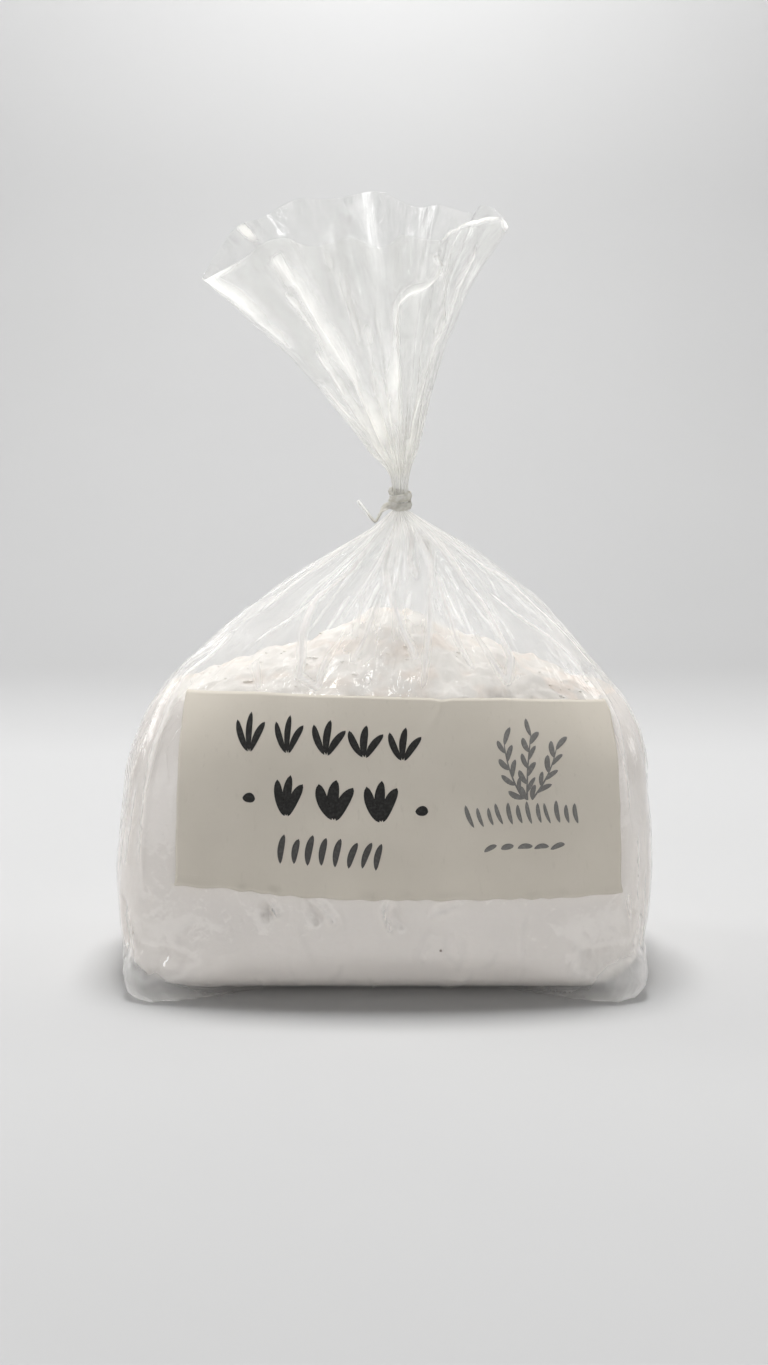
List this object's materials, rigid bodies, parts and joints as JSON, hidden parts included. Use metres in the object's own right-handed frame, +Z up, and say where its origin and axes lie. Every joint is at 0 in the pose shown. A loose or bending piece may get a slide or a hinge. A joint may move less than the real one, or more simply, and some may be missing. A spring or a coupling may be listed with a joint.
{
  "type": "bag of rice flour",
  "caption": "Clear film bag standing full of white rice flour, gathered at the neck by a twist tie, with a flared open mouth and a bent paper label on the front.",
  "frame": {"origin": "middle of the flat base, at the centre of the bounding box in x and y", "axes": "+Z up along the neck, -Y towards the labelled front, +X towards the right of the front"},
  "size_m": [0.1446, 0.0868, 0.2067],
  "materials": {
    "film": "clear glossy film over white flour",
    "flour": "matte powder",
    "paper": "matte uncoated",
    "tie": "satin"
  },
  "bodies": {
    "root": {"bag": "film", "label": "paper", "twist_tie": "tie"}
  },
  "joints": []
}
